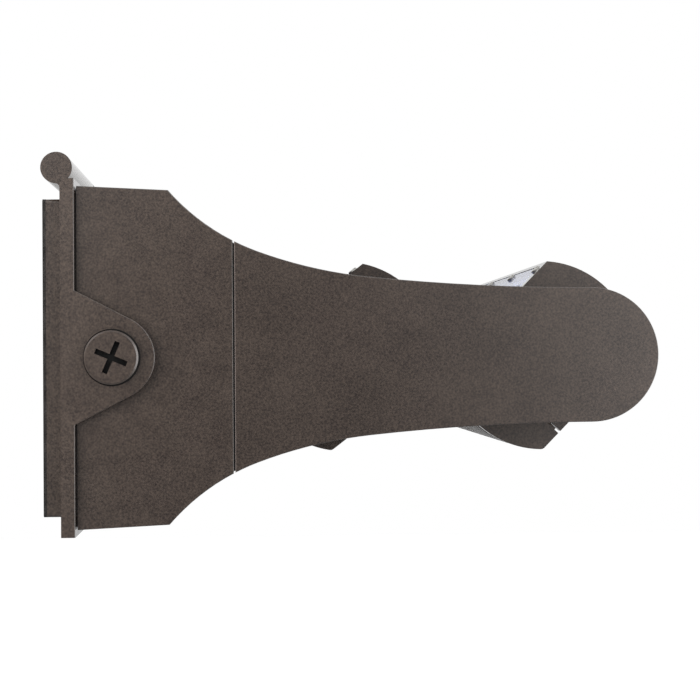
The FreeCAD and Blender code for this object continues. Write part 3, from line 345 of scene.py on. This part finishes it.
def plated(name, light, dark, rough, streak=None):
    """Plated or bare metal with a brushed or tumbled grain and fine scratches."""
    material, signal = new_finish(name)
    place = place_on(signal)
    if streak:
        place = scaled(signal, place, streak)
    haze = grain(signal, METAL_HAZE_CELLS, 3, place)
    scratch = grain(signal, METAL_SCRATCH_CELLS, 2, place)
    shader = signal.node("BsdfPrincipled", inputs={
        "Base Color": blend(signal, ramp(signal, haze, 0.3, 0.7), dark, light), "Metallic": 1.0,
        "Roughness": rough - 0.08 + haze * 0.12 + scratch * 0.08,
        "Normal": bump(signal, scratch, METAL_SCRATCH_DEPTH)})
    surface(signal, shader)
    return material


ground_green = plated("ground_green", tone(58, 128, 74), tone(34, 92, 50), rough=0.34)
new_piece("green_ground_screw", placed(hexagon_screw(**GROUND_SCREW), [pointing(GROUND_SEAT, (1, 0, 0))]),
          ground_green, "wall", "steel", "ground_screw")


# Clamp nuts: two square steel nuts, zinc-plated. Each is caught in the housing's screw slot and
# takes the thread of a side screw.
zinc = plated("zinc_plate", tone(206, 208, 210), tone(168, 170, 174), rough=0.36)
dress(zinc, "clamp_nuts")


# Hinge pin: a drawn stainless rod, pushed through the bead of the plate and the housing's two
# knuckles from the right.
stainless = plated("drawn_stainless", tone(214, 212, 208), tone(178, 176, 172), rough=0.3,
                   streak=(1, 0.04, 1))
dress(stainless, "hinge_pin")


# Housing gasket: a flat ring moulded from black silicone. It is laid between the plate and the
# open back of the housing, and the side screws press it tight.
silicone = rubber("black_silicone", tone(10, 10, 11), pore_cells=1900, pore_depth=0.00005, rough=0.48)
dress(silicone, "housing_gasket")


# Driver housing: a deep aluminium casting, open at the back, in the same bronze powder. It hangs
# on the hinge pin by two knuckles and the side screws clamp it shut.
dress(bronze_coat("housing_coat", cloud_cells=95, cloud_share=0.22), "driver_housing")


# LED driver: electronics potted in a folded case of plain brushed aluminium, with a flange at each
# end. Four pan-head screws hold it to the bosses on the front wall.
DRIVER_SEAT = 0.0756
DRIVER_SCREW_ACROSS = 0.082
DRIVER_SCREW_UP = 0.020
DRIVER_SCREW = {"head": 0.0038, "height": 0.0026, "shank": 0.002, "reach": 0.00798}


def cross_screw(head, height, shank, reach):
    """A pan-head screw with a tapered cross recess: the seat is at 0, and the head above it.

    The recess is cut from the cross of a grid of nine faces. Details are shares of the sizes."""
    shape = bmesh.new()
    half_width = 0.14 * head
    half_length = 0.5 * head
    bmesh.ops.create_grid(shape, x_segments=3, y_segments=3, size=half_length)
    for corner in shape.verts:
        for axis in (0, 1):
            if abs(corner.co[axis]) < 0.5 * half_length:
                corner.co[axis] = math.copysign(half_width, corner.co[axis])
        corner.co.z = height
    middles = [(face, face.calc_center_median()) for face in shape.faces]
    sink(shape, [face for face, middle in middles if min(abs(middle.x), abs(middle.y)) < half_width],
         0.62 * height, 0.7)
    bmesh.ops.subdivide_edges(shape, edges=open_rim(shape), cuts=2)
    turned(shape, open_rim(shape), [(0.78 * head, height), (0.91 * head, 0.84 * height),
                                    (0.98 * head, 0.58 * height), (head, 0.3 * height), (head, 0),
                                    (shank, 0), (shank, -0.9 * reach), (0.6 * shank, -reach)])
    return shape


driver_case = plated("driver_case", tone(196, 198, 200), tone(160, 162, 166), rough=0.38,
                     streak=(1, 0.03, 1))
dress(driver_case, "led_driver")
driver_places = [pointing((DRIVER_SEAT, y * DRIVER_SCREW_ACROSS, z * DRIVER_SCREW_UP), (-1, 0, 0),
                          20 * y + 35 * z) for y in (-1, 1) for z in (-1, 1)]
new_piece("driver_pan_screws", placed(cross_screw(**DRIVER_SCREW), driver_places),
          zinc, "housing", "steel", "driver_screws")


# Terminal block: three poles in one moulding of ivory nylon, glued to the front wall beside the
# driver. The supply wires end here.
FLOW_CELLS = 110
SKIN_CELLS = 2400
SKIN_DEPTH = 0.00002


def moulded(name, light, dark, rough):
    """Moulded plastic with a faint flow pattern and a spark-eroded skin."""
    material, signal = new_finish(name)
    flow = ramp(signal, grain(signal, FLOW_CELLS, 3), 0.3, 0.7)
    skin = grain(signal, SKIN_CELLS, 2)
    shader = signal.node("BsdfPrincipled", inputs={
        "Base Color": blend(signal, flow, dark, light), "Roughness": rough + skin * 0.12,
        "Normal": bump(signal, skin, SKIN_DEPTH)})
    surface(signal, shader)
    return material


dress(moulded("ivory_nylon", tone(222, 215, 196), tone(208, 200, 180), rough=0.4), "terminal_block")


# Lead grommet and leads: two jacketed wires from the driver's right end, through a rubber grommet
# in the front wall and along the hollow right arm to the two modules.
dress(rubber("lead_grommet_rubber", **GROMMET_RUBBER), "lead_grommet")
jacket = moulded("lead_jacket", tone(44, 44, 46), tone(32, 32, 34), rough=0.42)
dress(jacket, "inner_lead", "outer_lead")


# Arms: two hollow aluminium castings in bronze powder, each on a thin silicone gasket. Two
# socket-head bolts from inside the housing hold each arm to its front wall.
ARM_SEAT = 0.0816
ARM_BOLT_ACROSS = 0.114
ARM_BOLT_UP = 0.034
ARM_BOLT = {"head": 0.005, "height": 0.004, "shank": 0.003, "reach": 0.0117}
ARM_REAR = 0.0863
# A thin lighter line along each arm's edge at the seam is a painted highlight.
SEAM_HIGHLIGHT_WIDTH = 0.0001
SEAM_HIGHLIGHT_WANDER = 0.0006
SEAM_HIGHLIGHT_CELLS = 400
SEAM_HIGHLIGHT = tone(80, 73, 71)
CHIP_PLACE = (0.2393, -0.1247, 0.0313)
CHIP_RADIUS = 0.0007
CHIP_WANDER = 0.0004
CHIP_CELLS = 2600
BRIGHT_METAL = tone(226, 224, 218)


def socket_bolt(head, height, shank, reach):
    """A cap bolt with a hexagon socket: the seat is at 0, and the head above it."""
    shape = hexagon(0.52 * head, height)
    sink(shape, shape.faces[:], 0.6 * height)
    turned(shape, open_rim(shape), [(0.9 * head, height), (0.98 * head, 0.95 * height),
                                    (head, 0.86 * height), (head, 0), (shank, 0),
                                    (shank, -0.95 * reach), (0.7 * shank, -reach)])
    return shape


def painted_seam_highlight(signal, colour):
    """A lighter line painted along the arm's edge at the seam: a painted highlight."""
    out_of_wall = coordinate(signal, place_on(signal), 0)
    edge = out_of_wall < ARM_REAR + SEAM_HIGHLIGHT_WIDTH + grain(signal, SEAM_HIGHLIGHT_CELLS) * SEAM_HIGHLIGHT_WANDER
    return blend(signal, edge, colour, SEAM_HIGHLIGHT), 1.0


def chipped(signal, colour):
    """The painted highlight along the seam, and a chip in the powder on the top edge, down to bright metal.
    """
    colour, gloss = painted_seam_highlight(signal, colour)
    away = far_from(signal, place_on(signal), CHIP_PLACE)
    chip = away + grain(signal, CHIP_CELLS, 1) * CHIP_WANDER < CHIP_RADIUS
    return blend(signal, chip, colour, BRIGHT_METAL), gloss - chip


dress(silicone, "arm_gaskets")
for side, marks in (("left", chipped), ("right", painted_seam_highlight)):
    dress(bronze_coat(f"{side}_arm_coat", cloud_cells=45, cloud_share=0.2, marks=marks), f"{side}_arm")
bolt_places = [pointing((ARM_SEAT, y * ARM_BOLT_ACROSS, z * ARM_BOLT_UP), (-1, 0, 0), 12 * y + 25 * z)
               for y in (-1, 1) for z in (-1, 1)]
new_piece("arm_socket_bolts", placed(socket_bolt(**ARM_BOLT), bolt_places),
          zinc, "housing", "steel", "arm_bolts")


# Arm covers: flat cast lids on the inner sides of the arms, in the same powder. Five small bronze
# screws hold each one to the posts inside its arm.
COVER_SEAT = 0.107
COVER_SCREW = {"head": 0.0027, "height": 0.0014, "shank": 0.0015, "reach": 0.010}
COVER_SPOTS = ((0.1033, -0.034), (0.1033, 0.034), (0.1829, -0.020), (0.1829, 0.020), (0.2592, 0.0))
dress(bronze_coat("cover_coat", cloud_cells=80, cloud_share=0.3), "left_arm_cover", "right_arm_cover")
bronze_zinc = plated("bronze_zinc", tone(120, 106, 92), tone(84, 73, 64), rough=0.36)
cover_places = [pointing((x, side * COVER_SEAT, z), (0, -side, 0), 400 * x + 900 * z + 40 * side)
                for side in (-1, 1) for x, z in COVER_SPOTS]
new_piece("cover_pan_screws", placed(cross_screw(**COVER_SCREW), cover_places),
          bronze_zinc, "housing", "bronze_screw", "arm_cover_screws")


# Pivot bushes: four flanged bushes turned from black acetal, pressed into the arms. They carry the
# trunnions and rub on their flanges, which holds a module where it is tilted.
dress(moulded("black_acetal", tone(38, 38, 40), tone(28, 28, 30), rough=0.3), "pivot_bushes")


# Light modules: two finned aluminium barrels in bronze powder, each with a white board of twenty
# LEDs under a clear moulded cover, held by eight screws on a silicone gasket. A cast trunnion is
# screwed to each end of a barrel and turns in a bush of the arm.
MODULES = {"inner": (0.1366, 127.5), "outer": (0.2292, 135.6)}
LED_ROW = 0.0125
LED_PITCH = 0.0182
LEDS_IN_ROW = 10
BOARD_TOP = 0.0242
LENS_TOP = 0.0284
LENS_SCREW_SIDE = 0.02854
LENS_SCREW_ENDS = (-0.0932, -0.03107, 0.03107, 0.0932)
LENS_SCREW = {"head": 0.0023, "height": 0.0012, "shank": 0.00125, "reach": 0.0078}
TRUNNION_SEAT = 0.1045
TRUNNION_CIRCLE = 0.016
TRUNNION_TURNS = (90, 210, 330)
TRUNNION_SCREW = {"head": 0.0027, "height": 0.0014, "shank": 0.0015, "reach": 0.0061}
RUN_HALF_WIDTH = 0.0021
RUN_START = 0.0036
PAD_HALF_WIDTH = 0.0031
PAD_HALF_LENGTH = 0.0034
BOARD_SPECK_CELLS = 1800
BOARD_RELIEF = 0.00003


def far_along(signal, place, direction):
    """How far a place lies along a direction."""
    return signal.node("VectorMath", {"operation": "DOT_PRODUCT"}, {0: place, 1: direction}, output=1)


def board_mask(name, along, centre):
    """White solder mask: copper runs show through it, and tinned pads are bare round each LED."""
    material, signal = new_finish(name)
    place = place_on(signal)
    row = abs(abs(far_along(signal, place, along) - centre) - LED_ROW)
    step = abs(coordinate(signal, place, 1) % LED_PITCH - 0.5 * LED_PITCH)
    run = (row < RUN_HALF_WIDTH) * (step > RUN_START)
    pad = (row < PAD_HALF_WIDTH) * (step < PAD_HALF_LENGTH)
    speck = grain(signal, BOARD_SPECK_CELLS, 2)
    mask = blend(signal, run * 0.8 + speck * 0.15, tone(238, 240, 240), tone(222, 224, 218))
    shader = signal.node("BsdfPrincipled", inputs={
        "Base Color": blend(signal, pad, mask, tone(205, 206, 208)), "Metallic": pad * 0.9,
        "Roughness": 0.42 - pad * 0.1 + speck * 0.08,
        "Normal": bump(signal, run + speck * 0.2, BOARD_RELIEF)})
    surface(signal, shader)
    return material


LED_SIDE = 0.005
LED_HEIGHT = 0.0011
LED_EDGE_ROUND = 0.00015
LED_CUP_WALL = 0.0007
LED_CUP_DEPTH = 0.00035
LED_CUP_TAPER = 0.9


def led_body():
    """A square package with rounded edges and a shallow cup for the phosphor."""
    shape = bmesh.new()
    bmesh.ops.create_cube(shape, size=1)
    bmesh.ops.scale(shape, verts=shape.verts, vec=(LED_SIDE, LED_SIDE, LED_HEIGHT))
    bmesh.ops.translate(shape, verts=shape.verts, vec=(0, 0, LED_HEIGHT / 2))
    bmesh.ops.bevel(shape, geom=shape.edges[:], offset=LED_EDGE_ROUND, offset_type="OFFSET", segments=2,
                    profile=0.5, affect="EDGES", material=-1)
    top = max(shape.faces, key=lambda face: face.calc_center_median().z)
    bmesh.ops.inset_region(shape, faces=[top], thickness=LED_CUP_WALL)
    bmesh.ops.subdivide_edges(shape, edges=top.edges[:], cuts=1)
    sink(shape, [top], LED_CUP_DEPTH, LED_CUP_TAPER)
    return shape


PHOSPHOR_RADIUS = 0.0017
PHOSPHOR_DOME = 0.16
PHOSPHOR_SUNK = 0.0003


def led_phosphor():
    """The yellow fill of one package, domed a little by its surface tension."""
    shape = bmesh.new()
    bmesh.ops.create_uvsphere(shape, u_segments=24, v_segments=12, radius=PHOSPHOR_RADIUS)
    bmesh.ops.bisect_plane(shape, geom=shape.verts[:] + shape.edges[:] + shape.faces[:],
                           plane_co=(0, 0, 0), plane_no=(0, 0, 1), clear_inner=True)
    bmesh.ops.contextual_create(shape, geom=open_rim(shape))
    bmesh.ops.scale(shape, verts=shape.verts, vec=(1, 1, PHOSPHOR_DOME))
    bmesh.ops.translate(shape, verts=shape.verts, vec=(0, 0, LED_HEIGHT - PHOSPHOR_SUNK))
    return shape


POLYCARBONATE_INDEX = 1.585
RIPPLE_CELLS = 90
RIPPLE_DEPTH = 0.00012
FLOW_LINE_CELLS = 240
FLOW_LINE_STRETCH = (1, 0.03, 1)


def clear_cover(name):
    """Clear polycarbonate with a cool cast, and milky flow lines that run the length of the cover."""
    material, signal = new_finish(name)
    ripple = grain(signal, RIPPLE_CELLS, 2)
    drawn_out = scaled(signal, place_on(signal), FLOW_LINE_STRETCH)
    flow = ramp(signal, grain(signal, FLOW_LINE_CELLS, 2, drawn_out), 0.35, 0.65)
    relief = bump(signal, ripple, RIPPLE_DEPTH)
    clear = signal.node("BsdfPrincipled", inputs={
        "Base Color": blend(signal, ripple, tone(194, 206, 248), tone(220, 228, 254)),
        "Roughness": 0.04 + flow * 0.04, "IOR": POLYCARBONATE_INDEX, "Transmission Weight": 1.0,
        "Normal": relief})
    milky = signal.node("BsdfPrincipled", inputs={
        "Base Color": blend(signal, flow, tone(158, 171, 228), tone(220, 228, 255)),
        "Roughness": 0.2, "IOR": POLYCARBONATE_INDEX, "Normal": relief})
    surface(signal, signal.node("MixShader", inputs={0: 0.12 + flow * 0.2, 1: clear, 2: milky}))
    return material


led_ends = [(step - (LEDS_IN_ROW - 1) / 2) * LED_PITCH for step in range(LEDS_IN_ROW)]
sink_coat = bronze_coat("heat_sink_coat", cloud_cells=70, cloud_share=0.25)
trunnion_coat = plated("trunnion_zinc", tone(150, 146, 140), tone(112, 108, 102), rough=0.4)
package_white = moulded("led_package", tone(236, 235, 230), tone(226, 224, 217), rough=0.45)
phosphor = moulded("led_phosphor", tone(240, 206, 70), tone(226, 184, 44), rough=0.28)
cover_clear = clear_cover("clear_polycarbonate")
for module, (pivot, angle) in MODULES.items():
    body = f"{module}_module"
    tilt = Matrix.Translation((pivot, 0, 0)) @ Matrix.Rotation(math.radians(90 - angle), 4, "Y")
    along = tilt.to_3x3() @ Vector((1, 0, 0))
    out = tilt.to_3x3() @ Vector((0, 0, 1))
    dress(sink_coat, f"{module}_heat_sink")
    dress(trunnion_coat, f"{module}_trunnions")
    dress(board_mask(f"{module}_board_mask", along, along.x * pivot), f"{module}_led_board")
    dress(silicone, f"{module}_lens_gasket")
    dress(cover_clear, f"{module}_lens")
    dress(jacket, f"{module}_lead_tail")
    led_places = [tilt @ Matrix.Translation((x * LED_ROW, y, BOARD_TOP)) for x in (-1, 1) for y in led_ends]
    new_piece(f"{module}_led_packages", placed(led_body(), led_places), package_white, body, "led",
              f"{module}_leds")
    new_piece(f"{module}_led_phosphor", placed(led_phosphor(), led_places), phosphor, body, "led")
    cover_screws = [pointing(tilt @ Vector((x * LENS_SCREW_SIDE, y, LENS_TOP)), out, 700 * y + 30 * x)
                    for x in (-1, 1) for y in LENS_SCREW_ENDS]
    new_piece(f"{module}_cover_screws", placed(cross_screw(**LENS_SCREW), cover_screws),
              stainless, body, "stainless", f"{module}_lens_screws")
    stub_screws = []
    for side in (-1, 1):
        for turn in TRUNNION_TURNS:
            across = TRUNNION_CIRCLE * math.cos(math.radians(turn))
            up = TRUNNION_CIRCLE * math.sin(math.radians(turn))
            spot = tilt @ Vector((across, side * TRUNNION_SEAT, up))
            stub_screws.append(pointing(spot, (0, side, 0), turn / 3))
    new_piece(f"{module}_stub_screws", placed(cross_screw(**TRUNNION_SCREW), stub_screws),
              zinc, body, "steel", f"{module}_trunnion_screws")


# Side screws: two large steel screws with a flat head and a deep cross recess, bronze-coated like
# the castings. They pass through the plate's ears and clamp the housing shut.
HEAD_FACE = 0.1326
RECESS_RADIUS = 0.0088
RECESS_EDGE = 0.0004
# Painted shade: the black that fills the side screws' cross recesses.
RECESS_SHADE = tone(6, 6, 6)


def painted_recess_shade(signal, colour):
    """The cross recess below its edge, painted black as painted shade deep in the recess."""
    away, side = from_axis(signal)
    recess = (side < HEAD_FACE - RECESS_EDGE) * (away < RECESS_RADIUS)
    return blend(signal, recess, colour, RECESS_SHADE), 1 - recess


screw_coat = bronze_coat("side_screw_coat", cloud_cells=160, cloud_share=0.3, marks=painted_recess_shade)
dress(screw_coat, "left_side_screw", "right_side_screw")


# Studio: a pale paper floor well below the part, a wide soft light overhead and two small warm ones
# near the arms' tip and the wall. The white surround is weak behind the camera, below and towards
# the wall, strong ahead of the arms, and a little weaker straight above.
FLOOR_LEVEL = -0.6
FLOOR_HALF = 4.0
FLOOR_GLOW = 0.25
PAPER_CELLS = 40
shape = bmesh.new()
bmesh.ops.create_grid(shape, x_segments=1, y_segments=1, size=FLOOR_HALF)
bmesh.ops.translate(shape, verts=shape.verts, vec=(0, 0, FLOOR_LEVEL))
floor_mesh = bpy.data.meshes.new("studio_floor")
shape.to_mesh(floor_mesh)
shape.free()
floor = bpy.data.objects.new("studio_floor", floor_mesh)
bpy.context.scene.collection.objects.link(floor)
paper, signal = new_finish("floor_paper")
surface(signal, signal.node("BsdfPrincipled", inputs={
    "Base Color": blend(signal, grain(signal, PAPER_CELLS, 2), tone(252, 252, 252), tone(254, 254, 254)),
    "Roughness": 0.7, "Emission Color": (1, 1, 1, 1), "Emission Strength": FLOOR_GLOW}))
floor_mesh.materials.append(paper)
floor.visible_glossy = False

DARK_SIDE = (0.0, -0.998, -0.035)
DARK_SQUEEZE = (1, 1, 0.8)
DARK_SPAN = (0.06, 0.36)
LIT_SIDE = (0.5, 0, 0.86)
LIT_SPAN = (-0.6, 0.4)
UNLIT_LEVEL = 0.2
PANEL_SIDE = (0.98, -0.17, 0.05)
PANEL_SPAN = (0.8, 0.95)
PANEL_LEVEL = 2.0
TOP_SPAN = (0.75, 0.95)
TOP_LOSS = 0.6


def eased(signal, value, low, high):
    """A value spread out from 0 at low to 1 at high, with soft ends."""
    return signal.node("MapRange", {"interpolation_type": "SMOOTHSTEP"},
                       {"Value": value, "From Min": low, "From Max": high})


world = bpy.data.worlds.new("studio")
bpy.context.scene.world = world
world.use_nodes = True
world.node_tree.nodes.clear()
signal = Signal(world.node_tree)
toward = signal.node("TexCoord", output=0)
squeezed = scaled(signal, toward, DARK_SQUEEZE)
shade = eased(signal, far_from(signal, squeezed, DARK_SIDE), *DARK_SPAN)
lit = eased(signal, far_along(signal, toward, LIT_SIDE), *LIT_SPAN)
panel = ramp(signal, far_along(signal, toward, PANEL_SIDE), *PANEL_SPAN)
above = ramp(signal, coordinate(signal, toward, 2), *TOP_SPAN)
level = shade * (UNLIT_LEVEL + (1 - UNLIT_LEVEL) * lit) + panel * PANEL_LEVEL - above * TOP_LOSS
# The camera itself sees plain white behind the part.
seen = signal.node("LightPath", output=0)
glow = signal.node("Background", inputs={"Color": (1, 1, 1, 1), "Strength": seen + (1 - seen) * level})
signal.node("OutputWorld", inputs={"Surface": glow})


def soft_box(name, place, aim, size, watts, tint):
    """A square soft light at a place, turned to face a point, that neither the camera nor gloss sees."""
    light = bpy.data.lights.new(name, "AREA")
    light.size = size
    light.energy = watts
    light.color = tint
    lamp = bpy.data.objects.new(name, light)
    toward_aim = (Vector(aim) - Vector(place)).to_track_quat("-Z", "Y").to_matrix().to_4x4()
    lamp.matrix_world = Matrix.Translation(place) @ toward_aim
    lamp.visible_camera = False
    lamp.visible_glossy = False
    bpy.context.scene.collection.objects.link(lamp)


WHITE = (1, 1, 1)
WARM = (1, 0.93, 0.85)
soft_box("overhead_box", place=(0.1, -0.2, 1.6), aim=(0.1, -0.2, 0), size=2.5, watts=18, tint=WHITE)
soft_box("tip_box", place=(0.48, -0.23, 0.04), aim=(0.26, -0.12, 0), size=0.36, watts=2.3, tint=WARM)
soft_box("wall_box", place=(-0.13, -0.25, 0.05), aim=(0.02, -0.13, 0), size=0.3, watts=1.5, tint=WARM)
bpy.context.scene.view_settings.view_transform = "Standard"


# Camera: nearly square to the left side and level with the side screw, about 0.6 m away. It is
# turned by two and a half degrees and its picture shifted a little, to frame the part as photographed.
CAMERA_PLACE = (0.0955, -0.7398, -0.0033)
CAMERA_TURN = -2.486
CAMERA_ROLL = 0.386
CAMERA_RISE = 0.569
SENSOR_WIDTH = 36
FOCAL_LENGTH = 70.63
PICTURE_SHIFT = 0.05
eye = bpy.data.cameras.new("camera")
eye.sensor_width = SENSOR_WIDTH
eye.lens = FOCAL_LENGTH
eye.shift_x = PICTURE_SHIFT
camera = bpy.data.objects.new("camera", eye)
camera.matrix_world = (Matrix.Translation(CAMERA_PLACE) @ Matrix.Rotation(math.radians(CAMERA_TURN), 4, "Z")
                       @ Matrix.Rotation(math.radians(CAMERA_ROLL), 4, "Y")
                       @ Matrix.Rotation(math.radians(90 + CAMERA_RISE), 4, "X"))
bpy.context.scene.collection.objects.link(camera)
bpy.context.scene.camera = camera
